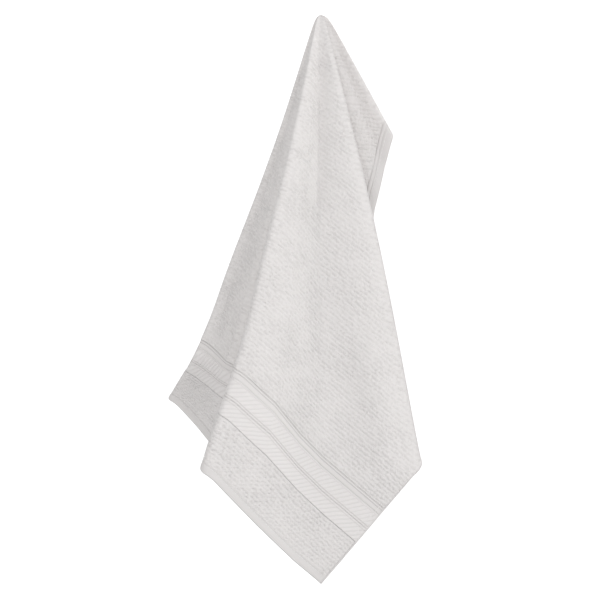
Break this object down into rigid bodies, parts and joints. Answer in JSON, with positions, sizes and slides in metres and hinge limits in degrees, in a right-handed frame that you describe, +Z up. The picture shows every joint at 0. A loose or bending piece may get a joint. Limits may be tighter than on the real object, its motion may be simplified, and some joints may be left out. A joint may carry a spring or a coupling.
{
  "type": "face towel",
  "caption": "Terry face towel hung from one point, its cloth falling in soft pleats to turned hems, with woven bands along its ends.",
  "frame": {"origin": "the point of the cloth that the towel hangs from, at the top of its gathers", "axes": "+Z up, along the towel's hanging length; +X to the viewer's right; +Y away from the viewer, through the stack of pleats"},
  "size_m": [0.2258, 0.1011, 0.5],
  "materials": {
    "terry": "matte off-white cotton terry"
  },
  "bodies": {
    "root": {"towel": "terry"}
  },
  "joints": []
}
